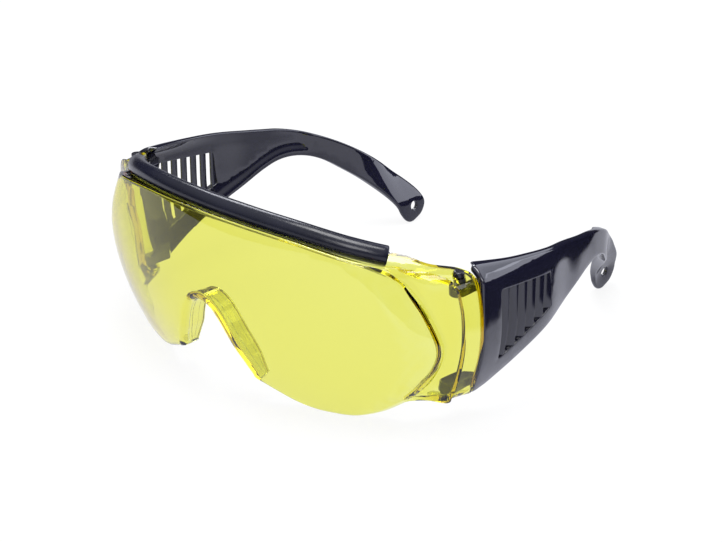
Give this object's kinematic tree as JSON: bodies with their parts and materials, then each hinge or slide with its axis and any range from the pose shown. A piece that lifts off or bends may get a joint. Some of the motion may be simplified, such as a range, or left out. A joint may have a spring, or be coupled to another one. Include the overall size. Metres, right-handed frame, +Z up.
{
  "type": "fit-over safety glasses",
  "caption": "Wrap-around safety glasses worn over spectacles: one-piece yellow lens with nose notch, soft brow bar, and dark folding temples with louvred side shields.",
  "frame": {"origin": "on the table, below the middle of the bounding box, temples open", "axes": "+Z up, +X towards the wearer's left, the wearer looks along -Y"},
  "size_m": [0.1532, 0.1523, 0.0628],
  "materials": {
    "lens": "clear polished, yellow tint",
    "brow_guard": "smooth, slightly glossy",
    "temple": "glossy",
    "hinge_pin": "glossy"
  },
  "bodies": {
    "front": {"lens": "lens", "brow_guard": "brow_guard"},
    "left_side": {"left_temple": "temple", "left_upper_hinge_pin": "hinge_pin", "left_lower_hinge_pin": "hinge_pin"},
    "right_side": {"right_temple": "temple", "right_upper_hinge_pin": "hinge_pin", "right_lower_hinge_pin": "hinge_pin"}
  },
  "joints": [
    {"name": "left_temple_fold", "type": "hinge", "parent": "front", "child": "left_side", "pos_m": [0.06836, -0.03787, 0.0294], "axis": [0.0958, 0, 0.9954], "range_deg": [0, 82]},
    {"name": "right_temple_fold", "type": "hinge", "parent": "front", "child": "right_side", "pos_m": [-0.06836, -0.03787, 0.0294], "axis": [0.0958, 0, -0.9954], "range_deg": [0, 68]}
  ]
}
